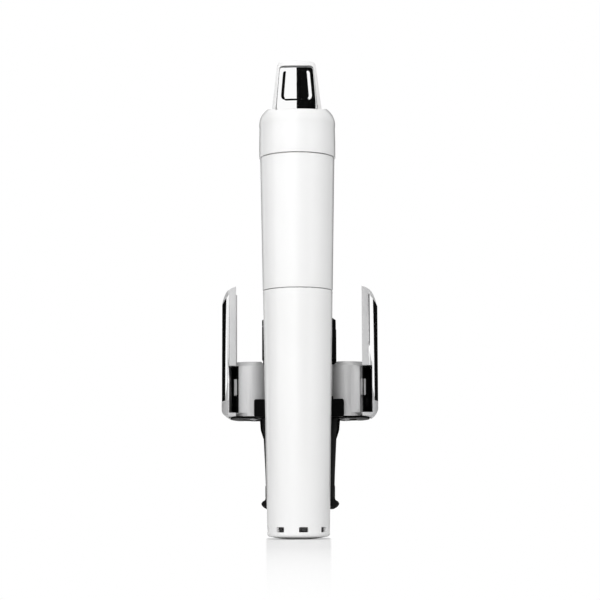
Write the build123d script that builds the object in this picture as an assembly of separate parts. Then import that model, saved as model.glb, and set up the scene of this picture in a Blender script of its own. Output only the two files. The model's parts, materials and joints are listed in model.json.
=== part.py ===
from build123d import *
import math
import os

# Wine preservation dispenser. Millimetres, +Z up, z = 0 is the underside of the capsule cup and
# the Z axis is the axis of the capsule cup. The bottle neck and the needle stand in front, at +Y.

# heights, each joint line from the one below it
cupSeam = 112.8
handleHeight = 61.6
capHeight = 23.1
hoodHeight = 20.5
towerHeight = 40.3
capSeam = cupSeam + handleHeight
shoulderTop = capSeam + capHeight
hoodTop = shoulderTop + hoodHeight
frontBottom = cupSeam - 9.2
frontTop = shoulderTop - 7.5
towerTop = frontBottom - 5.0
towerBottom = towerTop - towerHeight

# clearances
seamGap = 0.35
seatFit = 0.05
slideFit = 0.08
swingGap = 0.4

# capsule cup and capsule
cupTopRadius = 15.95
cupFootRadius = cupTopRadius - 1.8
cupWall = 1.7
cupFlatRadius = 5.5
cupDomeRadius = 61.0
cupFloor = 2.6
ventCount = 8
ventWidth = 4.1
ventHeight = 2.25
ventBottom = 3.2
ribBottom = cupFloor + 4.0
ribHeight = 30.0
capsuleRadius = 11.0
capsuleLength = cupSeam - 23.8
capsuleWall = 1.1
capsuleNeckRadius = 4.6
pierceHole = 0.7
threadPitch = 2.4
threadCrest = cupTopRadius - 2.2
threadDepth = 0.6

# handle and top cap
handleFootRadius = cupTopRadius + 0.1
handleTopRadius = handleFootRadius + 1.1
handleWall = 1.9
capRadius = handleTopRadius + 0.45
capWall = 1.9
hoodFootHalf = 11.25
hoodTopHalf = 8.9
hoodRim = 1.7
rimTaper = 0.0212
roofSlope = 10.8
hoodCrown = 2.3
crownRadius = 60.0
hoodRear = 11.6
hoodFront = 10.5
triggerPivotY = -6.0
triggerPivotZ = shoulderTop - 7.5
triggerPinRadius = 1.25
triggerSkin = 2.6
triggerNose = 6.0

# needle axis, bottle neck and rail
neckY = 38.0
neckRadius = 13.5
needleRadius = 0.9
needleBore = 0.5
railStemHalf = 4.0
railHeadHalf = 9.0
railBack = handleFootRadius + 0.2
railStep = railBack + 2.1
railFront = railStep + 2.2
railBottom = 12.0
railTop = capSeam - 4.4
railHookBottom = towerTop - 18.6

# clamp base
receiverRadius = neckRadius + 1.8
towerRadius = receiverRadius + 2.2
roofBottom = towerTop - 12.6
shoulderBack = neckY - 18.5
shoulderHalf = towerRadius - 0.2
rearBlockHalf = 11.8
rearBlockBack = railBack + 0.5
pivotX = towerRadius + 0.3
pivotZ = towerBottom + 2.7
pivotPinRadius = 1.4
knuckleRadius = 3.0
lugBack = neckY - 20.4
lugFront = lugBack + 3.7
knuckleDepth = 5.4
coverHalfAngle = 38.0

# clamp arms, ears and legs
armHeight = 25.6
armBottom = towerBottom - 1.5
armTop = armBottom + armHeight
earOuter = 37.2
earInner = earOuter - 3.3
earEdgeX = earOuter - 4.5
armOuterX = earOuter - 9.0
armInnerX = towerRadius - 1.7
earSkin = 1.05
earBack = 16.7
earFront = earBack - 2.3
earTop = towerTop + 19.4
inlayBottom = armBottom + 1.6
inlayTop = armTop - 2.0
inlayHeel = armBottom + 7.4
legLength = 37.6
legBottom = armBottom - legLength
legHalfAngle = 46.0
legScrewX = pivotX + 3.8
padTop = legBottom + 13.8
padBottom = legBottom - 5.8
needleTip = padTop + 3.0
flangeThick = 1.2


def drum(radius, low, high, x=0.0, y=0.0):
    return Pos(x, y, (low + high) / 2) * Cylinder(radius, high - low)


def tube(inner, outer, low, high, x=0.0, y=0.0):
    return drum(outer, low, high, x, y) - drum(inner, low - 1, high + 1, x, y)


def block(x0, x1, y0, y1, z0, z1):
    return Pos((x0 + x1) / 2, (y0 + y1) / 2, (z0 + z1) / 2) * Box(x1 - x0, y1 - y0, z1 - z0)


def lathe(points, x=0.0, y=0.0):
    face = Plane.XZ * make_face(Polyline(*points, close=True))
    return Pos(x, y, 0) * revolve(face, Axis.Z)


def rod_y(radius, x, z, y0, y1):
    return Pos(x, (y0 + y1) / 2, z) * Rot(90, 0, 0) * Cylinder(radius, y1 - y0)


def rod_x(radius, y, z, x0, x1):
    return Pos((x0 + x1) / 2, y, z) * Rot(0, 90, 0) * Cylinder(radius, x1 - x0)


def wedge(middle, half, low, high, x=0.0, y=0.0, reach=90.0):
    steps = 4
    points = [(x, y)]
    for step in range(steps + 1):
        angle = math.radians(middle - half + 2 * half * step / steps)
        points.append((x + reach * math.cos(angle), y + reach * math.sin(angle)))
    return Pos(0, 0, low) * extrude(make_face(Polyline(*points, close=True)), high - low)


def prism_y(points, y0, y1):
    face = Plane.XZ * make_face(Polyline(*points, close=True))
    return Pos(0, y1, 0) * extrude(face, y1 - y0)


def prism_z(face, low, high):
    return Pos(0, 0, low) * extrude(face, high - low)


def coil(radius, wire, low, high, turns, x=0.0, y=0.0):
    path = Helix(pitch=(high - low - 2 * wire) / turns, height=high - low - 2 * wire, radius=radius)
    section = Plane(path @ 0, z_dir=path % 0) * RegularPolygon(wire, 6)
    return Pos(x, y, low + wire) * sweep(section, path, is_frenet=True)


def helix_groove(radius, depth, low, turns):
    # one continuous triangular groove round the Z axis, cut depth beyond radius
    path = Helix(pitch=threadPitch, height=threadPitch * turns, radius=radius)
    size = abs(depth)
    sign = 1 if depth > 0 else -1
    tooth = make_face(Polyline((-sign * 0.2, -size), (sign * size, -0.12), (sign * size, 0.12),
                               (-sign * 0.2, size), close=True))
    frame = Plane(path @ 0, x_dir=(1, 0, 0), z_dir=path % 0)
    return Pos(0, 0, low) * sweep(frame * tooth, path, is_frenet=True)


def mirrored(shape, side):
    return shape if side > 0 else mirror(shape, Plane.YZ)


parts = {}


# capsule cup
def capsule_cup():
    high = cupSeam - seamGap / 2
    domeEdge = cupDomeRadius - math.sqrt(cupDomeRadius ** 2 - cupFootRadius ** 2)
    flatDrop = cupDomeRadius - math.sqrt(cupDomeRadius ** 2 - cupFlatRadius ** 2)
    edge = domeEdge - flatDrop
    lip = 1.2
    middle = (cupFlatRadius + cupFootRadius) / 2
    middleDrop = cupDomeRadius - math.sqrt(cupDomeRadius ** 2 - middle ** 2) - flatDrop
    outline = (Line((0, 0), (cupFlatRadius, 0))
               + ThreePointArc((cupFlatRadius, 0), (middle, middleDrop), (cupFootRadius - lip, edge - 0.1))
               + ThreePointArc((cupFootRadius - lip, edge - 0.1), (cupFootRadius - 0.3, edge + 0.35),
                               (cupFootRadius, edge + lip))
               + Line((cupFootRadius, edge + lip), (cupTopRadius, high))
               + Line((cupTopRadius, high), (0, high))
               + Line((0, high), (0, 0)))
    body = revolve(Plane.XZ * make_face(outline), Axis.Z)
    bore = lathe([(0, cupFloor), (cupFootRadius - cupWall, cupFloor), (cupTopRadius - cupWall, cupSeam - 16),
                  (threadCrest + slideFit, cupSeam - 14), (threadCrest + slideFit, high + 1), (0, high + 1)])
    body -= bore
    for index in range(ventCount):
        slot = block(cupFootRadius - 4, cupFootRadius + 3, -ventWidth / 2, ventWidth / 2,
                     ventBottom, ventBottom + ventHeight)
        body -= Rot(0, 0, -90 + 10.5 + index * 360 / ventCount) * slot
    body -= helix_groove(threadCrest + slideFit, threadDepth, cupSeam - 10.5, 2.5)
    for index in range(4):
        rib = block(capsuleRadius + 0.2, cupFootRadius - 0.9, -0.6, 0.6, ribBottom, ribBottom + ribHeight)
        body += Rot(0, 0, 22.5 + index * 90) * rib
    return body


parts["capsule_cup"] = capsule_cup()


def capsule():
    low = cupFloor + seatFit
    high = low + capsuleLength
    inner = capsuleRadius - capsuleWall
    neck = capsuleNeckRadius
    outline = (Line((0, low), (4.5, low))
               + ThreePointArc((4.5, low), (capsuleRadius - 1.6, low + 2.6), (capsuleRadius, low + 8))
               + Line((capsuleRadius, low + 8), (capsuleRadius, high - 20))
               + ThreePointArc((capsuleRadius, high - 20), (capsuleRadius - 1.8, high - 13),
                               (neck, high - 8.5))
               + Line((neck, high - 8.5), (neck, high))
               + Line((neck, high), (0, high)) + Line((0, high), (0, low)))
    body = revolve(Plane.XZ * make_face(outline), Axis.Z)
    hollow = (Line((0, low + capsuleWall), (4.0, low + capsuleWall))
              + ThreePointArc((4.0, low + capsuleWall), (inner - 1.4, low + 3.8), (inner, low + 8.5))
              + Line((inner, low + 8.5), (inner, high - 20.5))
              + ThreePointArc((inner, high - 20.5), (inner - 1.8, high - 14), (neck - 1.6, high - 9.5))
              + Line((neck - 1.6, high - 9.5), (neck - 1.6, high - 1.0))
              + Line((neck - 1.6, high - 1.0), (0, high - 1.0))
              + Line((0, high - 1.0), (0, low + capsuleWall)))
    body -= revolve(Plane.XZ * make_face(hollow), Axis.Z)
    return body - drum(pierceHole, high - 2, high + 1)


capsuleTop = cupFloor + seatFit + capsuleLength
parts["capsule"] = capsule()

# gas path in the handle
spigotBottom = capsuleTop - 3.0
sealThick = 1.5
neckRecess = capsuleNeckRadius + 0.6
pinRadius = pierceHole - 0.1
flangeTop = cupSeam + 3.4
flangeRadius = handleFootRadius - handleWall - seatFit
chamberHeight = 22.0
chamberBottom = cupSeam + 9.2
chamberTop = chamberBottom + chamberHeight
chamberRadius = 8.0
regulatorRadius = 10.5
capThreadTop = chamberTop + 6.0


def regulator_body():
    body = drum(12.0, spigotBottom, cupSeam - 13) + drum(threadCrest, cupSeam - 13, cupSeam)
    body += drum(flangeRadius, cupSeam, flangeTop)
    body += drum(regulatorRadius, flangeTop, chamberTop)
    body -= drum(neckRecess, spigotBottom - 1, capsuleTop + sealThick)
    body -= drum(2.0 + seatFit, capsuleTop, capsuleTop + 9)
    body -= drum(1.0, capsuleTop, chamberBottom + 1)
    body -= drum(chamberRadius, chamberBottom, chamberTop + 1)
    body -= rod_x(1.0, 0, chamberBottom + 2.5, -regulatorRadius - 1, 0)
    body -= helix_groove(threadCrest, -threadDepth, cupSeam - 10.5, 2.5)
    for index in range(3):
        port = rod_x(1.3, 0, chamberTop - 2.0, regulatorRadius - 3, regulatorRadius + 1)
        body -= Rot(0, 0, 30 + index * 120) * port
    return body


parts["regulator_body"] = regulator_body()
pinTop = capsuleTop + sealThick
parts["pierce_pin"] = (lathe([(0, capsuleTop - 2.4), (pinRadius, capsuleTop - 1.2), (pinRadius, pinTop),
                              (2.0, pinTop), (2.0, capsuleTop + 8.9), (0, capsuleTop + 8.9)])
                       - drum(0.3, capsuleTop + 2, capsuleTop + 10))
parts["capsule_seal"] = tube(1.6, neckRecess - seatFit, capsuleTop + 0.02, capsuleTop + sealThick - 0.02)

pistonLow = chamberBottom + 5.0
pistonTravel = 1.0
parts["regulator_piston"] = (drum(chamberRadius - slideFit, pistonLow, pistonLow + 5)
                             - tube(chamberRadius - 1.0, chamberRadius + 1, pistonLow + 1.6, pistonLow + 3.4)
                             + tube(2.2, 3.2, pistonLow + 5, pistonLow + 7.5)
                             + drum(1.6, chamberBottom + 1.6, pistonLow))
parts["piston_o_ring"] = tube(chamberRadius - 1.0, chamberRadius - slideFit, pistonLow + 1.7, pistonLow + 3.3)
springRadius = 5.4
parts["regulator_spring"] = coil(springRadius, 0.55, pistonLow + 5.02, chamberTop - 1.1, 3.5)
parts["regulator_cap"] = (drum(regulatorRadius + 1.4, chamberTop + seatFit, capThreadTop)
                          + drum(chamberRadius - seatFit, chamberTop - 1.0, chamberTop + seatFit)
                          - drum(1.7, chamberTop - 2, capThreadTop + 1)
                          - drum(2.4, capThreadTop - 2, capThreadTop + 1))

# handle, valve and trigger
valveFlangeLow = capSeam - 3.9
valveFlangeHigh = capSeam - 0.9
valveTop = triggerPivotZ - 6.0
valveRadius = 7.5
stemRadius = 1.5
stemFoot = capSeam + 0.2
stemHeadRadius = 3.2
stemTravel = 1.01
noseLow = triggerPivotZ - 2.4
handleInnerFoot = handleFootRadius - handleWall
handleInnerTop = handleTopRadius - handleWall


def handle_radius(z):
    return handleFootRadius + (handleTopRadius - handleFootRadius) * (z - cupSeam) / (capSeam - cupSeam)


def handle_shell():
    low = cupSeam + seamGap / 2
    high = capSeam - seamGap / 2
    body = lathe([(handleInnerFoot, low), (handleFootRadius, low), (handleTopRadius, high),
                  (handleInnerTop, high)])
    stem = railStemHalf + seatFit
    body -= block(-stem, stem, railBack - seatFit, 30, low - 1, railTop + 0.1)
    for height in railScrewHeights:
        body -= rod_y(1.6, 0, height, 5, 25)
    return body


railScrewHeights = (cupSeam + 13.2, railTop - 10.0)
transferZ = valveTop - 5.0
parts["handle_shell"] = handle_shell()

tubeRadius = 1.6
parts["gas_tube"] = tube(0.9, tubeRadius, chamberTop + 2.0, valveFlangeLow + 1.5)


def valve_body():
    flange = handleInnerTop - 0.25
    body = drum(flange, valveFlangeLow, valveFlangeHigh) + drum(valveRadius, valveFlangeHigh, valveTop)
    body -= drum(tubeRadius + seatFit, valveFlangeLow - 1, valveFlangeLow + 1.6)
    body -= drum(0.9, valveFlangeLow, stemFoot + 1)
    body -= drum(stemRadius + slideFit, stemFoot - stemTravel - 0.3, valveTop + 1)
    body -= drum(stemHeadRadius + 0.5, valveTop - 3.0, valveTop + 1)
    body -= rod_y(tubeRadius + seatFit, 0, transferZ, valveRadius - 3.0, valveRadius + 1)
    body -= rod_y(0.9, 0, transferZ, 0, valveRadius)
    for x in (-11.0, 11.0):
        body -= drum(1.4, valveFlangeLow - 1, valveFlangeHigh + 1, x, 0)
        body -= drum(2.5, valveFlangeLow - 1, valveFlangeLow + 1.4, x, 0)
    return body


parts["valve_body"] = valve_body()
stemTop = triggerPivotZ - 2.42
parts["valve_stem"] = (drum(stemRadius, stemFoot, stemTop) + drum(stemHeadRadius, stemTop - 1.0, stemTop)
                       - tube(stemRadius - 0.4, stemRadius + 1, stemFoot + 1.4, stemFoot + 2.4))
parts["stem_o_ring"] = tube(stemRadius - 0.4, stemRadius, stemFoot + 1.45, stemFoot + 2.35)
parts["valve_spring"] = coil(2.55, 0.4, valveTop - 2.98, stemTop - 1.02, 2.5)


def screw(radius, headRadius, headHigh, length):
    # head on top, driven along -Z, top of the head at z = 0
    body = Pos(0, 0, -headHigh / 2) * Cylinder(headRadius, headHigh)
    body += Pos(0, 0, -headHigh - length / 2) * Cylinder(radius, length)
    socket = Pos(0, 0, -0.45) * extrude(RegularPolygon(headRadius * 0.5, 6), 0.9)
    return body - socket


def compound(shapes):
    return Compound(children=list(shapes))


parts["valve_screws"] = compound(
    Pos(x, 0, valveFlangeLow) * Rot(180, 0, 0) * screw(1.3, 2.3, 1.3, 9.0) for x in (-11.0, 11.0))


def hood_half(z, inset=0.0):
    # half width of the hood at height z; an inset is wider low down than at the top
    lean = (hoodFootHalf - hoodTopHalf) / (hoodTop - 2.0 - shoulderTop)
    taper = 1.08 - rimTaper * (z - shoulderTop)
    return hoodFootHalf - lean * (z - shoulderTop) - inset * taper


def hood_solid(inset, low, high, rear, front, round_top):
    points = [(-hood_half(low, inset), low), (hood_half(low, inset), low),
              (hood_half(high, inset), high), (-hood_half(high, inset), high)]
    body = prism_y(points, rear, front)
    tops = body.edges().filter_by(Axis.Y).group_by(Axis.Z)[-1]
    return fillet(tops, round_top)


def dome_outline(inset, low):
    # side wall, tight shoulder and roof of the cap, all moved in by inset
    wall = capRadius - inset
    roof = shoulderTop - inset
    return (Line((0, low), (wall, low)) + Line((wall, low), (wall, capSeam + 8.0))
            + Line((wall, capSeam + 8.0), (wall - 0.15, roof - 9.0))
            + ThreePointArc((wall - 0.15, roof - 9.0), (wall - 1.2, roof - 3.1), (wall - 4.6, roof))
            + Line((wall - 4.6, roof), (0, roof)) + Line((0, roof), (0, low)))


def roof_cut(top):
    # everything above the rear half of the roof, which slopes down towards -Y
    return Pos(0, 0, top) * Rot(roofSlope, 0, 0) * block(-40, 40, -40, 0, 0, 30)


def top_cap():
    low = capSeam + seamGap / 2
    body = revolve(Plane.XZ * make_face(dome_outline(0, low)), Axis.Z) - roof_cut(shoulderTop)
    inside = revolve(Plane.XZ * make_face(dome_outline(capWall, low - 1)), Axis.Z)
    body -= inside - roof_cut(shoulderTop - capWall)
    hoodLow = shoulderTop - 4.5
    hood = hood_solid(0.0, hoodLow, hoodTop, -hoodRear, hoodFront, 2.4)
    crown = Pos(0, 0, hoodTop - crownRadius) * Rot(90, 0, 0) * Cylinder(crownRadius, 4 * hoodRear)
    rounding = drum(13.6, hoodLow - 1, hoodTop + 1, 0, 0.8)
    hood = hood & rounding
    hood = hood & crown
    hood -= block(-20, 20, -2.0, 20, hoodLow - 1, shoulderTop - 0.5)
    hollow = hood_solid(hoodRim, shoulderTop, hoodTop - hoodCrown, -hoodRear - 4, hoodFront - 2.0, 1.6)
    body = body + hood - hollow
    for side in (-1, 1):
        lug = block(5.0, 7.4, triggerPivotY - 3.0, triggerPivotY + 3.0, triggerPivotZ, shoulderTop - 2.4)
        lug += rod_x(3.0, triggerPivotY, triggerPivotZ, 5.0, 7.4)
        body += mirrored(lug, side)
        post = drum(2.6, valveFlangeHigh, shoulderTop - 1.0, 11.0, 0)
        post -= drum(1.3 + seatFit, valveFlangeHigh - 1, valveFlangeHigh + 8, 11.0, 0)
        body += mirrored(post, side)
    body -= rod_x(triggerPinRadius + seatFit, triggerPivotY, triggerPivotZ, -7.0, 7.0)
    well = hood_half(triggerLow, hoodRim)
    body -= block(-well, well, -20, triggerPivotY, triggerLow - 0.5, shoulderTop + 0.2)
    body -= block(-4.7, 4.7, -12.4, -1.6, shoulderTop - 6, shoulderTop + 2)
    body -= rod_y(tubeRadius + 0.5, 0, transferZ, 12, 20)
    return body


triggerLow = shoulderTop - 2.3
parts["top_cap"] = top_cap()
parts["trigger_pin"] = rod_x(triggerPinRadius, triggerPivotY, triggerPivotZ, -6.9, 6.9)

triggerHigh = hoodTop - hoodCrown - 0.9
triggerBulge = 26.0
padRise = 0.35


def trigger_skin(margin, low, high, thick, lift, corner):
    # a curved plate that follows the trapezoid of the hood, convex towards -Y
    inset = hoodRim + 0.35
    outer = triggerBulge + lift
    centre = -(hoodRear + 0.6) + triggerBulge
    reach = hoodRear + outer
    side = hoodFootHalf + thick
    plate = tube(outer - thick, outer, low - 1, high + 1, 0, centre)
    plate = plate & block(-side, side, -reach, triggerPivotY + 1.0, low - 1, high + 1)
    lowHalf = hood_half(low, inset) - margin
    highHalf = hood_half(high, inset) - margin
    trim = prism_y([(-lowHalf, low), (lowHalf, low), (highHalf, high), (-highHalf, high)], -reach, 0)
    trim = fillet(trim.edges().filter_by(Axis.Y), corner)
    return plate & trim


def trigger():
    body = trigger_skin(0.0, triggerLow, triggerHigh, triggerSkin, 0.0, 1.2)
    foot = block(-4.2, 4.2, -11.6, -7.0, triggerLow + 0.6, triggerLow + 3.4)
    stalk = block(-4.2, 4.2, -9.4, -3.6, triggerPivotZ, triggerLow + 2.6)
    knuckle = rod_x(2.9, triggerPivotY, triggerPivotZ, -4.2, 4.2)
    nose = block(-1.6, 1.6, triggerPivotY, triggerPivotY + triggerNose + 1.2, noseLow, noseLow + 2.6)
    body = body + foot + stalk + knuckle + nose
    rib = block(-0.9, 0.9, -10.4, -7.6, triggerLow + 2.0, triggerHigh - 5.0)
    body += rib
    body -= rod_x(triggerPinRadius + slideFit, triggerPivotY, triggerPivotZ, -10, 10)
    return body


parts["trigger"] = trigger()
parts["trigger_pad"] = trigger_skin(1.85, triggerLow + 4.6, triggerHigh - 2.1, padRise, padRise, 1.8)

# front of the head: needle, spout and rail
shellHalf = 12.5
shellWall = 1.8
shellNose = neckY + 4.0
blockLow = frontBottom + 2.1
blockHigh = frontBottom + 24.0
blockHalf = shellHalf - 3.5
hubRadius = 3.6
hubBottom = frontBottom - 3.2
spoutRootY = shellNose + 8.0
spoutZ = frontTop - 9.0
spoutRadius = 3.2
spoutRootRadius = spoutRadius + 0.2
spoutSleeveEnd = 8.2
spoutDrop = 15.0
spoutReach = 16.0


def rail_way(fit, low, high):
    # the T-shaped way that the rail passes through
    head = block(-railHeadHalf - fit, railHeadHalf + fit, railStep - fit, railFront + fit, low, high)
    return head + block(-railStemHalf - fit, railStemHalf + fit, 0, railStep + 1, low, high)


def shell_plan(inset):
    half = shellHalf - inset
    face = Pos(0, (10 + shellNose) / 2) * Rectangle(2 * half, shellNose - 10)
    return face + Pos(0, shellNose) * Circle(half)


def spout_frame(distance):
    # a point on the sloping spout axis, distance beyond its root, z axis along the flow
    angle = math.radians(spoutDrop)
    place = Pos(0, spoutRootY + distance * math.cos(angle), spoutZ - distance * math.sin(angle))
    return place * Rot(-90 - spoutDrop, 0, 0)


def spout_rod(radius, start, finish):
    return spout_frame((start + finish) / 2) * Cylinder(radius, finish - start)


def front_shell():
    body = prism_z(shell_plan(0), frontBottom, frontTop)
    tops = body.edges().group_by(Axis.Z)[-1]
    body = fillet(tops, 3.0)
    body -= prism_z(shell_plan(shellWall), frontBottom + 2.0, frontTop - 2.0)
    seat = lathe([(0, frontBottom - 5.2), (handleFootRadius + 1.0, frontBottom - 5.2),
                  (handleFootRadius + 1.0, cupSeam),
                  (handle_radius(cupSeam) + seatFit, cupSeam), (handle_radius(capSeam) + seatFit, capSeam),
                  (capRadius + seatFit, capSeam), (capRadius + seatFit, frontTop + 2), (0, frontTop + 2)])
    body -= seat
    body -= rail_way(seatFit, frontBottom - 1, frontBottom + 3)
    body -= drum(hubRadius + 0.4, frontBottom - 1, frontBottom + 3, 0, neckY)
    for x in (-6.5, 6.5):
        body -= drum(1.3, frontBottom - 1, frontBottom + 3, x, neckY)
        body -= drum(2.2, frontBottom - 1, frontBottom + 1.1, x, neckY)
    body -= spout_rod(spoutRootRadius + seatFit, -15, 15)
    return body


parts["front_shell"] = front_shell()
spoutLength = spoutReach / math.cos(math.radians(spoutDrop))


def spout_tube():
    # a stepped tube: the thicker root is held by the shell and the sleeve
    bore = spoutRadius - 1.0
    profile = [(1.05, -4.0), (spoutRootRadius, -4.0), (spoutRootRadius, spoutSleeveEnd),
               (spoutRadius, spoutSleeveEnd + 0.2), (spoutRadius, spoutLength), (bore, spoutLength),
               (bore, -2.5), (1.05, -2.5)]
    return spout_frame(0) * lathe(profile)


parts["spout_tube"] = spout_tube()
parts["spout_sleeve"] = (spout_rod(spoutRootRadius + 1.2, spoutSleeveEnd - 2.2, spoutSleeveEnd)
                         - spout_rod(spoutRootRadius + seatFit, 4, 9))


wineY = spout_frame(-7.0).position.Y
wineZ = spout_frame(-7.0).position.Z


def needle_block():
    body = block(-blockHalf, blockHalf, neckY - 9.0, shellNose + 5.0, blockLow, blockHigh)
    body = fillet(body.edges().filter_by(Axis.Z), 2.0)
    body -= drum(hubRadius - 0.8 + seatFit, blockLow - 1, blockLow + 8, 0, neckY)
    body -= drum(1.2, blockLow, blockHigh - 3, 0, neckY)
    body -= drum(1.0 + seatFit, blockHigh - 8, blockHigh + 1, 0, wineY)
    body -= rod_y(1.0, 0, blockHigh - 7.5, neckY, wineY)
    body -= drum(tubeRadius + seatFit, blockHigh - 6, blockHigh + 1, 0, neckY - 5)
    body -= rod_y(0.9, 0, blockHigh - 5.5, neckY - 5, neckY)
    for x in (-6.5, 6.5):
        body -= drum(1.1 + seatFit, blockLow - 1, blockLow + 7, x, neckY)
    return body


parts["needle_block"] = needle_block()


def bent_tube(points, radius, outer, inner):
    path = FilletPolyline(*points, radius=radius)
    start = Plane(path @ 0, z_dir=path % 0)
    return sweep(start * Circle(outer), path) - sweep(start * Circle(inner), path)


parts["transfer_tube"] = bent_tube([(0, valveRadius - 2.9, transferZ), (0, neckY - 5, transferZ),
                                    (0, neckY - 5, blockHigh - 5.9)], 7.0, tubeRadius, 0.9)
wineStart = spout_frame(-2.6).position
parts["wine_tube"] = bent_tube([(0, wineY, blockHigh - 7.8), (0, wineY, wineZ),
                                (0, wineStart.Y, wineStart.Z)], 2.2, 1.0, 0.55)

hub = drum(hubRadius, hubBottom, blockLow) + drum(hubRadius - 0.8, blockLow, blockLow + 7.0)
hub -= drum(needleRadius + seatFit, hubBottom - 1, blockLow + 8)
parts["needle_hub"] = Pos(0, neckY, 0) * (hub - tube(2.2, 4, blockLow + 3.0, blockLow + 4.2))
parts["needle_o_ring"] = tube(2.2, hubRadius - 0.8, blockLow + 3.05, blockLow + 4.15, 0, neckY)
parts["needle"] = (lathe([(0, needleTip), (needleRadius, needleTip + 4.5), (needleRadius, blockLow + 6.9),
                          (0, blockLow + 6.9)], 0, neckY)
                   - drum(needleBore, needleTip + 6, blockLow + 8, 0, neckY)
                   - rod_y(0.4, 0, needleTip + 7.5, neckY - 2, neckY))


stopX = 6.6
stopHigh = 5.4


def rail():
    body = block(-railStemHalf, railStemHalf, railBack, railStep + 0.1, railBottom, railTop)
    body += block(-railHeadHalf, railHeadHalf, railStep, railFront, railBottom, railTop)
    corners = body.edges().filter_by(Axis.Y).group_by(Axis.Z)[0]
    body = chamfer(corners, 0.8)
    body -= block(-railHeadHalf - 1, -6.2, railStep - 1, railFront + 1, cupSeam + 1, railTop + 1)
    body -= block(6.2, railHeadHalf + 1, railStep - 1, railFront + 1, cupSeam + 1, railTop + 1)
    for height in railScrewHeights:
        body -= rod_y(1.6, 0, height, 0, 30)
        body -= rod_y(2.7, 0, height, railFront - 1.5, 30)
    for x in (-stopX, stopX):
        body -= rod_y(0.9 + seatFit, x, railBottom + 2.8, 0, 30)
        body -= rod_y(1.75, x, railBottom + 2.8, railFront - 0.85, 30)
    return body


parts["rail"] = rail()
stopBlock = block(railStemHalf + 0.4, railHeadHalf - 0.2, railBack + 0.5, railStep, railBottom + 0.4,
                  railBottom + stopHigh)
stopBlock -= rod_y(0.9, stopX, railBottom + 2.8, 0, 30)
parts["rail_stop"] = compound(mirrored(stopBlock, side) for side in (-1, 1))
parts["rail_screws"] = compound(
    Pos(0, railFront, height) * Rot(-90, 0, 0) * screw(1.5, 2.6, 1.4, 5.5) for height in railScrewHeights)
parts["stop_screws"] = compound(
    Pos(x, railFront - 0.05, railBottom + 2.8) * Rot(-90, 0, 0) * screw(0.9, 1.7, 0.75, 3.0)
    for x in (-stopX, stopX))
parts["block_screws"] = compound(
    Pos(x, neckY, frontBottom + 0.1) * Rot(180, 0, 0) * screw(1.1, 2.0, 0.95, 7.4) for x in (-6.5, 6.5))

# clamp base
bumperLow = towerTop + 0.5
bumperHigh = frontBottom - 0.3
guideRadius = 3.0
guideBore = needleRadius + slideFit
baseScrewPlaces = ((-towerRadius + 7.5, neckY - 6), (towerRadius - 7.5, neckY - 6),
                   (0, neckY + towerRadius - 5.0))


def coil_pocket(extra):
    # room for the torsion spring between the rear knuckle and the middle of the arm
    y0 = knuckleBack + knuckleDepth
    return rod_y(knuckleRadius + 0.3 + extra, pivotX, pivotZ, y0, y0 + springRoom)


knuckleBack = lugFront + 0.3
springRoom = 4.2


def shoulder(low, high):
    # the wide part above the arms, with round rear corners
    body = block(-shoulderHalf, shoulderHalf, shoulderBack, neckY, low, high)
    corners = body.edges().filter_by(Axis.Z).group_by(Axis.Y)[0]
    return fillet(corners, 2.5)


def base_housing():
    body = drum(towerRadius, towerBottom, towerTop, 0, neckY)
    body += shoulder(armTop + 0.7, towerTop)
    body += block(-rearBlockHalf, rearBlockHalf, rearBlockBack, neckY - 8, towerBottom, towerTop)
    body += drum(towerRadius - 2.2, towerTop, bumperLow, 0, neckY)
    lugTop = pivotZ + knuckleRadius + 0.4
    for side in (-1, 1):
        for y0 in (lugBack, 2 * neckY - lugFront):
            lug = block(rearBlockHalf - 2.4, pivotX + knuckleRadius + 0.1, y0, y0 + lugFront - lugBack,
                        pivotZ - 4.8, lugTop)
            lug = fillet(lug.edges().filter_by(Axis.Y).group_by(Axis.X)[-1], 0.9)
            body += mirrored(lug, side)
        post = block(6.0, rearBlockHalf, neckY + 8, 2 * neckY - lugBack, towerBottom, lugTop)
        body += mirrored(post, side)
    body -= drum(receiverRadius, towerBottom - 1, roofBottom, 0, neckY)
    body -= rail_way(slideFit, towerBottom - 1, towerTop + 2)
    body -= block(-railHeadHalf - slideFit, railHeadHalf + slideFit, 0, railFront + 0.2, towerBottom - 1,
                  railHookBottom)
    body -= drum(guideRadius + seatFit, roofBottom - 1, towerTop + 2, 0, neckY)
    for side in (-1, 1):
        for y0 in (lugBack + 0.9, 2 * neckY - lugFront - 1):
            body -= rod_y(pivotPinRadius + seatFit, side * pivotX, pivotZ, y0, y0 + lugFront - lugBack + 0.1)
        body -= mirrored(coil_pocket(-0.2), side)
    for x, y in baseScrewPlaces:
        body -= drum(1.2, towerTop - 8, towerTop + 3, x, y)
    body -= tube(guideRadius + 2.0, towerRadius - 7.0, roofBottom + 6.0, towerTop - 3.5, 0, neckY)
    body -= block(-brakeHalf - seatFit, brakeHalf + seatFit, railFront, brakeFront + 0.1,
                  brakeLow - seatFit, brakeHigh + seatFit)
    return body


brakeHalf = 4.0
brakeFront = railFront + 3.8
brakeLow = towerTop - 9.0
brakeHigh = towerTop - 3.5
parts["base_housing"] = base_housing()
parts["rail_brake"] = block(-brakeHalf, brakeHalf, railFront + 0.04, railFront + 2.0, brakeLow, brakeHigh)
parts["brake_leaf"] = (block(-brakeHalf, brakeHalf, brakeFront - 0.6, brakeFront, brakeLow, brakeHigh)
                       + block(-1.0, 1.0, railFront + 2.02, brakeFront - 0.6, brakeLow + 1.8,
                               brakeHigh - 1.8))


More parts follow.
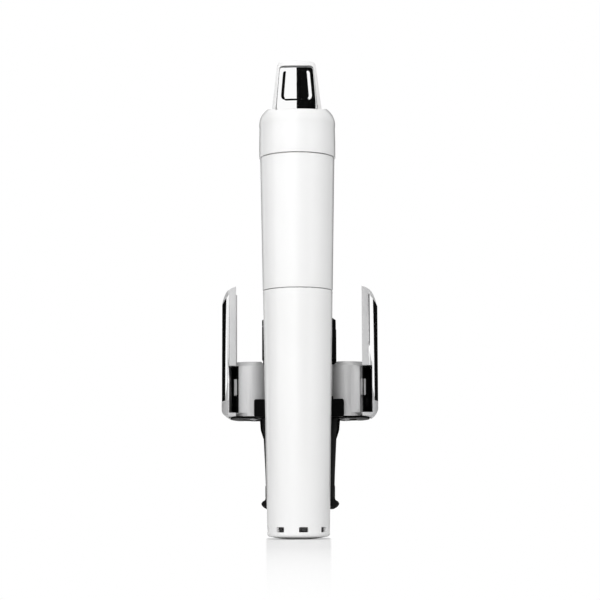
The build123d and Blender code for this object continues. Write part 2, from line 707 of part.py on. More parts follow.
def top_bumper():
    body = drum(shoulderHalf, bumperLow, bumperHigh, 0, neckY) + shoulder(bumperLow, bumperHigh)
    edges = body.edges().group_by(Axis.Z)[-1]
    body = chamfer(edges, 1.7, 2.4)
    body += block(-rearBlockHalf, rearBlockHalf, rearBlockBack, neckY - 12, bumperLow, bumperHigh - 1.5)
    body -= rail_way(slideFit, bumperLow - 1, bumperHigh + 2)
    body -= drum(hubRadius + 1.0, bumperLow - 1, bumperHigh + 2, 0, neckY)
    for x, y in baseScrewPlaces:
        body -= drum(1.3, bumperLow - 1, bumperHigh + 2, x, y)
        body -= drum(2.3, bumperHigh - 1.6, bumperHigh + 2, x, y)
    return body


parts["top_bumper"] = top_bumper()
parts["base_screws"] = compound(
    Pos(x, y, bumperHigh - 0.3) * screw(1.15, 2.1, 1.3, 7.5) for x, y in baseScrewPlaces)
guideLow = roofBottom - 1.6
parts["needle_guide"] = lathe([(guideBore, guideLow), (guideRadius, guideLow), (guideRadius, bumperLow),
                               (2.4, bumperLow), (guideBore, bumperLow - 2.6)], 0, neckY)


def mouth_pad():
    body = tube(guideRadius + seatFit, receiverRadius - 0.2, roofBottom - 1.8, roofBottom, 0, neckY)
    for x in (-8.0, 8.0):
        body -= drum(0.9, roofBottom - 3, roofBottom + 1, x, neckY)
    return body


parts["mouth_pad"] = mouth_pad()


def base_front_cover():
    body = tube(towerRadius + seatFit, towerRadius + 1.5, towerBottom + 8.2, towerTop - 1.0, 0, neckY)
    body = body & wedge(90, coverHalfAngle, towerBottom, towerTop, 0, neckY)
    for height in (towerBottom + 13.7, towerTop - 6.0):
        body += block(-2.0, 2.0, neckY + towerRadius, neckY + towerRadius + 1.0, height - 2, height + 2)
    return body


parts["base_front_cover"] = base_front_cover()
pinLength = lugFront - lugBack + knuckleDepth - 0.9
parts["pivot_pins"] = compound(
    rod_y(pivotPinRadius, side * pivotX, pivotZ, y0, y0 + pinLength)
    for side in (-1, 1) for y0 in (lugBack + 1.0, 2 * neckY - lugBack - 1.0 - pinLength))

# clamps
coneLow = towerRadius + swingGap + 0.2
coneHigh = coneLow + 3.1


def ear_profile(low, tall):
    # the ear seen along Y: round outer top corner, a smaller round tall at the bottom
    root = earInner - 13.9
    wide = 0.6 * tall
    line = (Line((root, low), (earOuter - wide, low))
            + ThreePointArc((earOuter - wide, low), (earOuter - 0.23 * tall, low + 0.28 * tall),
                            (earOuter, low + tall))
            + Line((earOuter, low + tall), (earOuter, earTop - 12.5))
            + ThreePointArc((earOuter, earTop - 12.5), (earOuter - 0.8, earTop - 7.1),
                            (earOuter - 2.9, earTop - 3.0))
            + ThreePointArc((earOuter - 2.9, earTop - 3.0), (earOuter - 5.6, earTop - 1.1),
                            (earOuter - 8.8, earTop))
            + Line((earOuter - 8.8, earTop), (root, earTop)) + Line((root, earTop), (root, low)))
    return Pos(0, 2 * neckY + 4.0, 0) * extrude(Plane.XZ * make_face(line), 2 * neckY + 8.0)


def ear_sector(inner, outer, low, high):
    # a length of tube round the needle axis, cut square at its rear and front edges
    ring = tube(inner, outer, low, high, 0, neckY)
    return ring & block(inner - 13.9, outer + 8, neckY - earBack, neckY + earFront, low - 1, high + 1)


def ear_skin(grow):
    # the polished outer plate, let into the ear from outside
    skin = ear_sector(earOuter - earSkin - grow, earOuter + grow * 20, inlayHeel - grow, earTop)
    trim = [(earEdgeX - grow, inlayHeel - grow), (earOuter + 22.8, inlayHeel - grow),
            (earOuter + 22.8, earTop - 31.3 + grow), (earOuter, earTop - 8.5 + grow),
            (earEdgeX - grow, earTop - 4.0 + grow)]
    return skin & prism_y(trim, 0, 2 * neckY + 4.0)


def arm_plan(inset=0.0):
    back = neckY - 16.4 + inset
    reach = earInner + 0.5 - inset
    inside = armInnerX + inset
    outside = armOuterX - inset
    angle = math.radians(18)
    joinX = reach * math.cos(angle)
    joinY = reach * math.sin(angle)
    edge = 0.1752 * (outside - inside)
    middle = (inside + outside) / 2
    inner = 1.25 * edge
    rear = ThreePointArc((inside, back + inner), (middle, back), (outside, back + edge))
    front = ThreePointArc((outside, 2 * neckY - back - edge), (middle, 2 * neckY - back),
                          (inside, 2 * neckY - back - inner))
    outer = (rear + Line((outside, back + edge), (joinX, neckY - joinY))
             + ThreePointArc((joinX, neckY - joinY), (reach, neckY), (joinX, neckY + joinY))
             + Line((joinX, neckY + joinY), (outside, 2 * neckY - back - edge)) + front
             + Line((inside, 2 * neckY - back - inner), (inside, back + inner)))
    return make_face(outer)


def arm():
    body = prism_z(arm_plan(), armBottom, armTop)
    rims = body.edges().group_by(Axis.Z)
    body = chamfer(rims[-1], 2.0)
    body = chamfer(body.edges().group_by(Axis.Z)[0], 1.6)
    body -= Pos(0, neckY, (armBottom + armTop) / 2) * Cone(coneLow, coneHigh, armTop - armBottom + 1)
    for y0 in (knuckleBack, 2 * neckY - knuckleBack - knuckleDepth):
        web = block(pivotX, pivotX + 6.5, y0, y0 + knuckleDepth, armBottom, pivotZ + knuckleRadius)
        body += rod_y(knuckleRadius, pivotX, pivotZ, y0, y0 + knuckleDepth) + web
    for y0 in (lugBack - 2, 2 * neckY - lugFront - 0.3):
        relief = block(10, pivotX + knuckleRadius + 0.7, y0, y0 + lugFront - lugBack + 2.3, armBottom - 1,
                       pivotZ + knuckleRadius + 0.8)
        body -= relief
    body -= block(legScrewX + 2.4, armOuterX - 0.9, neckY - 12, neckY + 12, armBottom - 1, armTop - 2.6)
    core = ear_sector(earInner, earOuter, armBottom, earTop + 1) & ear_profile(armBottom, 5.0)
    core -= ear_skin(seatFit)
    body += core
    for y0 in (neckY - 18, neckY + 9):
        body -= block(armOuterX + 0.2, earEdgeX - 0.1, y0, y0 + 9, inlayBottom, inlayTop)
    for y in (neckY - 8.5, neckY + 8.5):
        body -= drum(1.2, armBottom - 1, armBottom + 9, legScrewX, y)
    body -= coil_pocket(0.6)
    for y0 in (knuckleBack - 1, 2 * neckY - knuckleBack - knuckleDepth - 1):
        body -= rod_y(pivotPinRadius + slideFit, pivotX, pivotZ, y0, y0 + knuckleDepth + 2)
    return body


def ear_face():
    return ear_skin(0)


def arm_inlay():
    body = None
    for y0, y1 in ((neckY - 15.0, neckY - 9.05), (neckY + 9.05, neckY + earFront - 0.1)):
        piece = block(armOuterX + 0.25, earEdgeX - 0.15, y0, y1, inlayBottom + 0.05, inlayTop - 0.05)
        body = piece if body is None else body + piece
    return body


def leg():
    wall = receiverRadius
    outline = [(wall, armBottom), (wall + 2.9, armBottom), (wall + 2.5, armBottom - 5.8),
               (wall + 2.1, armBottom - 7.2), (wall + 1.9, armBottom - 11.8), (wall + 1.25, padTop - 1.0),
               (wall + 1.0, legBottom + 5.6), (wall + 1.2, legBottom + 5.0), (wall + 1.2, legBottom),
               (wall, legBottom)]
    body = lathe(outline, 0, neckY) & wedge(0, legHalfAngle, legBottom - 9, armBottom + 2, 0, neckY)
    flange = prism_z(arm_plan(1.5), armBottom - flangeThick, armBottom)
    flange += block(armInnerX + 0.6, armInnerX + 5, neckY - 13.6, neckY + 13.6,
                    armBottom - flangeThick, armBottom)
    flange += ear_sector(earInner - 2.9, earInner - 0.9, armBottom - flangeThick, armBottom)
    flange -= drum(receiverRadius, armBottom - 8, armBottom + 2, 0, neckY)
    body += flange
    for y0 in (lugBack - 2, 2 * neckY - lugFront - 0.3):
        body -= block(8, pivotX + knuckleRadius + 0.7, y0, y0 + lugFront - lugBack + 2.3,
                      armBottom - 8, armBottom + 2)
    for y in (neckY - 8.5, neckY + 8.5):
        body -= drum(1.3, armBottom - 8, armBottom + 2, legScrewX, y)
        body -= drum(2.3, armBottom - flangeThick - 1, armBottom - flangeThick + 0.7, legScrewX, y)
    rib = block(wall + 1.7, wall + 5.2, neckY - 0.9, neckY + 0.9, armBottom - 10, armBottom - flangeThick)
    slope = [(wall + 1.2, armBottom - 12), (wall + 2.1, armBottom - 10), (wall + 5.3, armBottom),
             (wall + 1.2, armBottom)]
    rib = rib & prism_y(slope, neckY - 18, neckY + 22)
    return body + rib


def neck_pad():
    foot = neckRadius + 5.0
    wall = receiverRadius - seatFit
    neck = receiverRadius + 1.2
    outline = [(neckRadius, padBottom + 1.8), (neckRadius + 1.2, padBottom),
               (neckRadius + 2.2, padBottom + 0.1), (foot - 1.4, padBottom + 0.8),
               (foot - 0.4, padBottom + 1.8), (foot, padBottom + 2.7), (foot - 0.6, padBottom + 3.7),
               (neck + 0.4, padBottom + 4.3), (neck, padBottom + 4.7), (neck, legBottom), (wall, legBottom),
               (wall, padTop), (neckRadius + 1.0, padTop), (neckRadius, padTop - 1.6)]
    return lathe(outline, 0, neckY) & wedge(0, legHalfAngle - 1.5, padBottom - 4, padTop + 27, 0, neckY)


def torsion_spring():
    y0 = knuckleBack + knuckleDepth + 0.3
    length = springRoom - 0.7
    wire = 0.45
    path = Helix(pitch=(length - 2 * wire) / 3, height=length - 2 * wire, radius=2.3)
    section = Plane(path @ 0, z_dir=path % 0) * RegularPolygon(wire, 6)
    ring = sweep(section, path, is_frenet=True)
    return Pos(pivotX, y0 + length - wire, pivotZ) * Rot(90, 0, 0) * ring


legScrew = screw(1.15, 2.1, 0.8, 7.6)
sides = {"left": -1, "right": 1}
oneSide = {
    "arm": arm(),
    "ear_face": ear_face(),
    "arm_inlay": arm_inlay(),
    "leg": leg(),
    "neck_pad": neck_pad(),
    "leg_screws": compound(Pos(legScrewX, y, armBottom - flangeThick - 0.1) * Rot(180, 0, 0) * legScrew
                           for y in (neckY - 8.5, neckY + 8.5)),
    "spring": torsion_spring(),
}
for label, side in sides.items():
    for piece, shape in oneSide.items():
        parts[label + "_" + piece] = mirrored(shape, side)

os.makedirs("parts", exist_ok=True)
for name, shape in parts.items():
    export_step(shape, os.path.join("parts", name + ".step"))
print(len(parts), "pieces written")
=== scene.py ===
import json
import math

import bmesh
import bpy
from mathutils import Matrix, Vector


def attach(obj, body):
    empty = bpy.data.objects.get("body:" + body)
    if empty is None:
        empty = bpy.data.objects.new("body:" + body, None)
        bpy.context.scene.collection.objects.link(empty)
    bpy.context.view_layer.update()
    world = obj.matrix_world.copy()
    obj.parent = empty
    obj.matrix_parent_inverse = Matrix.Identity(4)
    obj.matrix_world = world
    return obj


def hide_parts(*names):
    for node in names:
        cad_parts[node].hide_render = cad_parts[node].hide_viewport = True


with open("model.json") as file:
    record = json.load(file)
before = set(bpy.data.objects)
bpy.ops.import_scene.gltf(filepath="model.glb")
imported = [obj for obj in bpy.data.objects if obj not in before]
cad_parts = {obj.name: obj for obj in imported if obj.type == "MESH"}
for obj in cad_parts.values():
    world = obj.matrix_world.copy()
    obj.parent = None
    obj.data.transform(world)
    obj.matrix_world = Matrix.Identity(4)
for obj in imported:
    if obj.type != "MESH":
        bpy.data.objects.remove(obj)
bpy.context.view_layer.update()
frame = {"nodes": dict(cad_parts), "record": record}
nodes = frame["nodes"]
# Z is up and X runs to the camera's right; the camera stands on the -Y side, where the cup is
mm = 0.001  # the frame is in metres, the pieces below are in millimetres


def bareTree(owner):
    owner.use_nodes = True
    owner.node_tree.nodes.clear()
    return owner.node_tree


def feed(tree, value, socket):
    # a plain number is set on the socket, another node's output is linked to it
    if isinstance(value, float):
        socket.default_value = value
    else:
        tree.links.new(value, socket)


def calc(tree, operation, *values):
    # one Math node over plain numbers or other nodes' outputs
    sums = tree.nodes.new("ShaderNodeMath")
    sums.operation = operation
    for value, socket in zip(values, sums.inputs):
        feed(tree, value, socket)
    return sums.outputs[0]


def mixed(tree, factor, first, second):
    blend = tree.nodes.new("ShaderNodeMixShader")
    for value, socket in zip((factor, first, second), blend.inputs):
        feed(tree, value, socket)
    return blend.outputs[0]


def noiseOf(tree, scale, detail, rough=0.5, stretch=None):
    place = tree.nodes.new("ShaderNodeTexCoord")
    noise = tree.nodes.new("ShaderNodeTexNoise")
    noise.inputs["Scale"].default_value = scale
    noise.inputs["Detail"].default_value = detail
    noise.inputs["Roughness"].default_value = rough
    source = place.outputs["Object"]
    if stretch:
        squeeze = tree.nodes.new("ShaderNodeMapping")
        squeeze.inputs["Scale"].default_value = stretch
        tree.links.new(source, squeeze.inputs["Vector"])
        source = squeeze.outputs["Vector"]
    tree.links.new(source, noise.inputs["Vector"])
    return noise.outputs["Fac"]


def between(tree, factor, low, high, start=0.3, end=0.7):
    # spreads a factor that runs from start to end over low to high
    spread = tree.nodes.new("ShaderNodeMapRange")
    spread.inputs["From Min"].default_value = start
    spread.inputs["From Max"].default_value = end
    spread.inputs["To Min"].default_value = low
    spread.inputs["To Max"].default_value = high
    tree.links.new(factor, spread.inputs["Value"])
    return spread.outputs["Result"]


def shades(tree, factor, dark, light):
    ramp = tree.nodes.new("ShaderNodeValToRGB")
    for stop, position, colour in zip(ramp.color_ramp.elements, (0.3, 0.7), (dark, light)):
        stop.position = position
        stop.color = (*colour, 1)
    tree.links.new(factor, ramp.inputs["Fac"])
    return ramp.outputs["Color"]


def relief(tree, factor, depth):
    bump = tree.nodes.new("ShaderNodeBump")
    bump.inputs["Strength"].default_value = 1.0
    bump.inputs["Distance"].default_value = depth
    tree.links.new(factor, bump.inputs["Height"])
    return bump.outputs["Normal"]


def newSurface(name):
    surface = bpy.data.materials.new(name)
    tree = bareTree(surface)
    out = tree.nodes.new("ShaderNodeOutputMaterial")
    shader = tree.nodes.new("ShaderNodeBsdfPrincipled")
    tree.links.new(shader.outputs["BSDF"], out.inputs["Surface"])
    return surface, tree, shader


def makeSurface(look):
    # a broad noise varies the colour, a fine one the roughness and the relief
    surface, tree, shader = newSurface(look["name"])
    broad = noiseOf(tree, look["broad"], detail=3.0)
    fine = noiseOf(tree, look["fine"], detail=5.0, rough=0.6, stretch=look.get("stretch"))
    tree.links.new(shades(tree, broad, look["dark"], look["light"]), shader.inputs["Base Color"])
    tree.links.new(between(tree, fine, *look["rough"]), shader.inputs["Roughness"])
    tree.links.new(relief(tree, fine, look["depth"]), shader.inputs["Normal"])
    shader.inputs["IOR"].default_value = 1.5
    shader.inputs["Metallic"].default_value = look.get("metal", 0.0)
    shader.inputs["Specular IOR Level"].default_value = look.get("specular", 0.5)
    return surface


# "broad" and "fine" are noise scales, "depth" is the relief in metres
looks = [
    {"name": "whiteGloss", "slot": "white_gloss", "dark": (0.84, 0.84, 0.836), "light": (0.86, 0.86, 0.86),
     "rough": (0.10, 0.17), "broad": 14.0, "fine": 420.0, "depth": 0.000004},
    {"name": "polishedChrome", "slot": "chrome", "dark": (0.955, 0.955, 0.96), "light": (0.98, 0.98, 0.98),
     "rough": (0.03, 0.07), "broad": 30.0, "fine": 300.0, "depth": 0.000002, "metal": 1.0},
    {"name": "satinSilver", "slot": "satin_silver", "dark": (0.62, 0.62, 0.625),
     "light": (0.68, 0.68, 0.68), "rough": (0.38, 0.48), "broad": 40.0, "fine": 2600.0,
     "depth": 0.00001, "metal": 0.45},
    {"name": "glossBlack", "slot": "black_gloss", "dark": (0.001, 0.001, 0.001),
     "light": (0.003, 0.003, 0.003), "rough": (0.08, 0.14), "broad": 30.0, "fine": 500.0,
     "depth": 0.000003, "specular": 0.04},
    {"name": "satinBlack", "slot": "black_satin", "dark": (0.002, 0.002, 0.002),
     "light": (0.005, 0.005, 0.005), "rough": (0.30, 0.42), "broad": 35.0, "fine": 2200.0,
     "depth": 0.00002, "specular": 0.01},
    {"name": "softRubber", "slot": "rubber_black", "dark": (0.003, 0.003, 0.003),
     "light": (0.007, 0.007, 0.007), "rough": (0.55, 0.72), "broad": 45.0, "fine": 1800.0,
     "depth": 0.00003, "specular": 0.02},
    {"name": "brightSteel", "slot": "steel", "dark": (0.52, 0.52, 0.53), "light": (0.62, 0.62, 0.62),
     "rough": (0.18, 0.30), "broad": 60.0, "fine": 3000.0, "depth": 0.000008, "metal": 1.0,
     "stretch": (1.0, 1.0, 0.15)},
    {"name": "machinedAluminium", "slot": "machined_aluminium", "dark": (0.62, 0.62, 0.64),
     "light": (0.72, 0.72, 0.74), "rough": (0.22, 0.36), "broad": 50.0, "fine": 2400.0,
     "depth": 0.00001, "metal": 1.0, "stretch": (0.2, 0.2, 1.0)},
    {"name": "turnedBrass", "slot": "brass", "dark": (0.66, 0.48, 0.20), "light": (0.76, 0.58, 0.28),
     "rough": (0.20, 0.34), "broad": 50.0, "fine": 2400.0, "depth": 0.00001, "metal": 1.0,
     "stretch": (0.2, 0.2, 1.0)},
    {"name": "capsuleSteel", "slot": "capsule_steel", "dark": (0.42, 0.42, 0.43),
     "light": (0.56, 0.56, 0.565), "rough": (0.24, 0.38), "broad": 60.0, "fine": 2600.0,
     "depth": 0.00001, "metal": 1.0, "stretch": (0.25, 0.25, 1.0)},
]
surfaces = {look["slot"]: makeSurface(look) for look in looks}
slotOf = {part["node"]: part["material_slot"] for part in frame["record"]["subparts"]}
bodies = frame["record"]["behaviour"]["bodies"]
bodyOf = {node: body for body, members in bodies.items() for node in members}
print("surfaces made:", len(surfaces))


def addMesh(name, corners, faces):
    # a mesh from corners in mm
    mesh = bpy.data.meshes.new(name)
    mesh.from_pydata([tuple(c * mm for c in corner) for corner in corners], [], faces)
    mesh.validate()
    piece = bpy.data.objects.new(name, mesh)
    bpy.context.scene.collection.objects.link(piece)
    return piece


def solid(name, corners, faces):
    # a closed mesh, welded and with every face turned outward
    piece = addMesh(name, corners, faces)
    work = bmesh.new()
    work.from_mesh(piece.data)
    bmesh.ops.remove_doubles(work, verts=work.verts, dist=1e-7)
    bmesh.ops.recalc_face_normals(work, faces=work.faces)
    work.to_mesh(piece.data)
    work.free()
    return piece


def stacked(name, rings):
    # a closed body over rings of as many corners each, with its first and last ring filled in
    count = len(rings[0])
    last = count * (len(rings) - 1)
    faces = [tuple(range(count)), tuple(range(last, last + count))]
    for start in range(0, last, count):
        for k in range(count):
            after = (k + 1) % count
            faces.append((start + k, start + after, start + count + after, start + count + k))
    return solid(name, [corner for ring in rings for corner in ring], faces)


def box(name, x0, x1, y0, y1, z0, z1):
    corners = [(x, y, z) for x in (x0, x1) for y in (y0, y1) for z in (z0, z1)]
    faces = [(0, 1, 3, 2), (4, 6, 7, 5), (0, 4, 5, 1), (2, 3, 7, 6), (0, 2, 6, 4), (1, 5, 7, 3)]
    return solid(name, corners, faces)


def turned(name, outline, steps=240):
    # a closed outline of (radius, height) pairs, turned about the upright axis
    corners = []
    for step in range(steps):
        angle = 2 * math.pi * step / steps
        corners += [(radius * math.cos(angle), radius * math.sin(angle), z) for radius, z in outline]
    count = len(outline)
    faces = []
    for step in range(steps):
        here = step * count
        there = ((step + 1) % steps) * count
        for k in range(count):
            after = (k + 1) % count
            if outline[k][0] or outline[after][0]:  # no face along the axis itself
                faces.append((here + k, there + k, there + after, here + after))
    return solid(name, corners, faces)


def arc(x0, y0, x1, y1, bulge=0.2, steps=5):
    # points on a round arc that bulges to the right of its way, by a share of the straight line's length
    length = math.hypot(x1 - x0, y1 - y0)
    radius = length * (0.25 + bulge ** 2) / (2 * bulge)
    back = radius / length - bulge
    centreX = (x0 + x1) / 2 - back * (y1 - y0)
    centreY = (y0 + y1) / 2 + back * (x1 - x0)
    first = math.atan2(y0 - centreY, x0 - centreX)
    sweep = 4 * math.atan(2 * bulge)
    angles = [first + sweep * k / steps for k in range(steps + 1)]
    return [(centreX + radius * math.cos(a), centreY + radius * math.sin(a)) for a in angles]


def baked(piece):
    # the modifiers' result becomes the piece's own mesh
    bpy.context.view_layer.update()
    graph = bpy.context.evaluated_depsgraph_get()
    result = bpy.data.meshes.new_from_object(piece.evaluated_get(graph))
    piece.modifiers.clear()
    piece.data = result
    return piece


def smoothed(piece, angle):
    # edges sharper than the angle stay crisp
    piece.data.shade_smooth()
    piece.data.set_sharp_from_angle(angle=math.radians(angle))
    return piece


def softened(piece, width, steps=3, angle=30):
    # rounds every edge sharper than the angle
    edge = piece.modifiers.new("edge", "BEVEL")
    edge.width = width * mm
    edge.segments = steps
    edge.limit_method = "ANGLE"
    edge.angle_limit = math.radians(angle)
    edge.miter_outer = "MITER_ARC"
    return baked(piece)


def carved(piece, cutters):
    for cutter in cutters:
        cut = piece.modifiers.new("cut", "BOOLEAN")
        cut.operation = "DIFFERENCE"
        cut.solver = "EXACT"
        cut.object = cutter
    baked(piece)
    for cutter in cutters:
        bpy.data.objects.remove(cutter)
    return piece


def joined(name, pieces):
    # several closed bodies in one mesh
    work = bmesh.new()
    for piece in pieces:
        work.from_mesh(piece.data)
    mesh = bpy.data.meshes.new(name)
    work.to_mesh(mesh)
    work.free()
    for piece in pieces:
        bpy.data.objects.remove(piece)
    result = bpy.data.objects.new(name, mesh)
    bpy.context.scene.collection.objects.link(result)
    return result


def copyOf(node, name):
    # a working copy of a CAD node's mesh, with its flat faces put back together
    piece = bpy.data.objects.new(name, nodes[node].data.copy())
    bpy.context.scene.collection.objects.link(piece)
    work = bmesh.new()
    work.from_mesh(piece.data)
    bmesh.ops.remove_doubles(work, verts=work.verts, dist=2e-6)
    bmesh.ops.dissolve_limit(work, angle_limit=math.radians(0.5), verts=work.verts, edges=work.edges)
    work.to_mesh(piece.data)
    work.free()
    return piece


def setUp(piece, spec):
    # gives a finished piece its finish, its body and the nodes it stands for
    piece.data.materials.clear()
    piece.data.materials.append(surfaces[spec["finish"]])
    for polygon in piece.data.polygons:
        polygon.material_index = 0
    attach(piece, spec["body"])
    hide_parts(*spec["nodes"])


# the cup is turned from one outline, with a domed end and eight vents round its foot
cup = {
    "name": "capsule_cup_shell", "nodes": ["capsule_cup"], "body": "cup_and_capsule",
    "finish": "white_gloss",
    "seam": 112.8, "gap": 0.35, "foot": 14.15, "top": 15.95, "wallSteps": 25, "sharp": 35,
    "flat": 5.5, "flatRing": 3.3, "dome": 61.0, "domeSteps": 12,
    "lip": 1.2, "lipBulge": 0.22, "lipSteps": 12,
    "rimIn": 0.22, "rimDown": 0.2, "bore": 13.83, "boreDeep": 14.0, "taperDeep": 16.0, "wall": 1.7,
    "floor": 2.6, "floorCorner": 0.8,
    "vents": 8, "ventTurn": -79.5, "ventWidth": 4.1, "ventLow": 3.2, "ventHigh": 5.45,
    "ventCorner": 0.45, "ventSteps": 4,
    # how far past the skin, and how much wider there
    "ventFlare": [(-4.0, 0.0), (-0.35, 0.0), (-0.1, 0.05), (0.15, 0.25), (1.8, 0.27)],
}


def cupOutline(c):
    def rise(radius):
        # height of the domed end over its flat
        return math.sqrt(c["dome"] ** 2 - c["flat"] ** 2) - math.sqrt(c["dome"] ** 2 - radius ** 2)

    start = rise(c["foot"]) + c["lip"]
    high = c["seam"] - c["gap"] / 2
    points = [(0.0, 0.0), (c["flatRing"], 0.0), (c["flat"], 0.0)]
    for k in range(1, c["domeSteps"] + 1):
        radius = c["flat"] + (c["foot"] - c["lip"] - c["flat"]) * k / c["domeSteps"]
        points.append((radius, rise(radius)))
    points += arc(*points[-1], c["foot"], start, c["lipBulge"], c["lipSteps"])[1:]
    for k in range(1, c["wallSteps"] + 1):
        z = start + (high - c["rimDown"] - start) * k / c["wallSteps"]
        points.append((c["foot"] + (c["top"] - c["foot"]) * (z - start) / (high - start), z))
    points += arc(*points[-1], c["top"] - c["rimIn"], high)[1:]
    # then down the bore and over the floor inside
    inner = c["foot"] - c["wall"]
    points += [(c["bore"] + c["rimDown"], high), (c["bore"], high - c["rimDown"]),
               (c["bore"], c["seam"] - c["boreDeep"]), (c["top"] - c["wall"], c["seam"] - c["taperDeep"]),
               (inner, c["floor"] + c["floorCorner"]), (inner - c["floorCorner"], c["floor"]),
               (0.0, c["floor"])]
    return points


def ventCutter(c, index):
    # a slot with round corners that opens out a little at the skin
    half = c["ventWidth"] / 2 - c["ventCorner"]
    tall = (c["ventHigh"] - c["ventLow"]) / 2 - c["ventCorner"]
    middle = (c["ventLow"] + c["ventHigh"]) / 2
    slot = []
    for sideways, upward, start in ((1, 1, 0), (-1, 1, 90), (-1, -1, 180), (1, -1, 270)):
        for k in range(c["ventSteps"] + 1):
            a = math.radians(start + 90 * k / c["ventSteps"])
            slot.append((sideways * half + c["ventCorner"] * math.cos(a),
                         upward * tall + c["ventCorner"] * math.sin(a)))
    turn = math.radians(c["ventTurn"] + index * 360 / c["vents"])
    cosine, sine = math.cos(turn), math.sin(turn)
    rings = []
    for past, wider in c["ventFlare"]:
        reach = c["foot"] + past
        grown = [(u + math.copysign(wider, u), v + math.copysign(wider, v)) for u, v in slot]
        rings.append([(reach * cosine - u * sine, reach * sine + u * cosine, middle + v)
                      for u, v in grown])
    return stacked("ventCutter", rings)


cupPiece = turned(cup["name"], cupOutline(cup))
carved(cupPiece, [ventCutter(cup, k) for k in range(cup["vents"])])
setUp(smoothed(cupPiece, cup["sharp"]), cup)
print("capsule cup done,", len(cupPiece.data.polygons), "faces")

# the handle's sleeve widens upwards and is open on its far side, where the tower's stem passes
handle = {
    "name": "handle_sleeve", "nodes": ["handle_shell"], "body": "head", "finish": "white_gloss",
    "low": 112.975, "high": 174.225, "foot": 16.05, "top": 17.15, "wall": 1.9, "edge": 0.25,
    "wallSteps": 20, "sharp": 35,
    "stemHalf": 4.05, "stemBack": 16.2, "stemFront": 30.0, "stemLow": 110.0, "stemTop": 170.1,
}


def handleOutline(h):
    edge = h["edge"]
    tall = h["high"] - h["low"]
    points = arc(h["foot"] - edge, h["low"], h["foot"], h["low"] + edge)
    for k in range(1, h["wallSteps"]):
        z = h["low"] + edge + (tall - 2 * edge) * k / h["wallSteps"]
        points.append((h["foot"] + (h["top"] - h["foot"]) * (z - h["low"]) / tall, z))
    points += arc(h["top"], h["high"] - edge, h["top"] - edge, h["high"])
    points += [(h["top"] - h["wall"], h["high"]), (h["foot"] - h["wall"], h["low"])]
    return points


handlePiece = turned(handle["name"], handleOutline(handle))
stemGap = box("stemGap", -handle["stemHalf"], handle["stemHalf"], handle["stemBack"], handle["stemFront"],
              handle["stemLow"], handle["stemTop"])
setUp(smoothed(carved(handlePiece, [stemGap]), handle["sharp"]), handle)
print("handle shell done,", len(handlePiece.data.polygons), "faces")

# the trigger is a bowed plate with a shallow thumb dish, on a stalk that ends in its knuckle
lever = {
    "name": "trigger_lever_plate", "nodes": ["trigger", "trigger_pad"], "body": "trigger_lever",
    "finish": "chrome",
    "low": 195.2, "high": 214.8, "shoulder": 197.5, "footHalf": 9.17, "lean": 0.08357, "corner": 1.2,
    "bulge": 26.0, "rear": 12.2, "thick": 2.6, "edge": 0.22,
    "dishLow": 199.7, "dishHigh": 223.8, "dishInset": 2.4, "dishCorner": 2.2, "dishDepth": 0.7,
    "dishFade": 0.02, "dishSoft": 2.0, "dishEnd": 212.0, "dishOpen": 1.4,
    "columns": 150, "columnCrowd": 0.75, "rows": 190, "rowCrowd": 0.6, "sharp": 40,
    "blockEdge": 0.3, "foot": (-4.2, 4.2, -11.4, -7.0, 195.8, 198.6),
    "stalk": (-4.2, 4.2, -9.4, -3.6, 190.0, 197.8), "nose": (-1.6, 1.6, -6.0, 1.2, 187.6, 190.2),
    "rib": (-0.9, 0.9, -10.4, -7.6, 197.2, 209.8),
    "knuckle": 2.9, "knuckleEdge": 0.25, "knuckleHalf": 4.2, "knuckleSteps": 48,
    "pivotY": -6.0, "pivotZ": 190.0,
}


def leverHalf(z, inset=0.0):
    return lever["footHalf"] - lever["lean"] * (z - lever["shoulder"]) - inset


def insideBy(x, z, low, high, corner, inset=0.0):
    # how far a point lies inside a trapezoid with round corners, negative outside
    side = (leverHalf(z, inset) - abs(x)) / math.hypot(1.0, lever["lean"])
    rise = min(z - low, high - z)
    if side < corner and rise < corner:
        return corner - math.hypot(corner - side, corner - rise)
    return min(side, rise)


def roundFall(inside, radius):
    # how far a round edge has dropped at a point that lies this far inside it
    short = radius - min(radius, max(0.0, inside))
    return radius - math.sqrt(radius ** 2 - short ** 2)


def softStep(t):
    # an even rise from 0 to 1 that starts and ends level
    t = min(1.0, max(0.0, t))
    return t * t * (3 - 2 * t)


def crowded(count, crowd):
    # numbers from -1 to 1 that crowd towards both ends
    evenly = [2 * k / count - 1 for k in range(count + 1)]
    return [(1 - crowd) * t + crowd * math.sin(t * math.pi / 2) for t in evenly]


def platePoint(p, x, z):
    # the plate's outer face: a bow, with a round edge and the dish sunk into it
    edge = roundFall(insideBy(x, z, p["low"], p["high"], p["corner"]), p["edge"])
    inside = insideBy(x, z, p["dishLow"], p["dishHigh"], p["dishCorner"], p["dishInset"])
    soft = p["dishSoft"] + p["dishOpen"] * max(0.0, z - p["dishEnd"])
    depth = p["dishDepth"] * (1 - p["dishFade"] * (z - p["dishLow"]))
    bow = p["bulge"] - p["rear"] - math.sqrt(p["bulge"] ** 2 - x * x)
    return x, bow + depth * softStep(inside / soft + 0.5) + edge, z


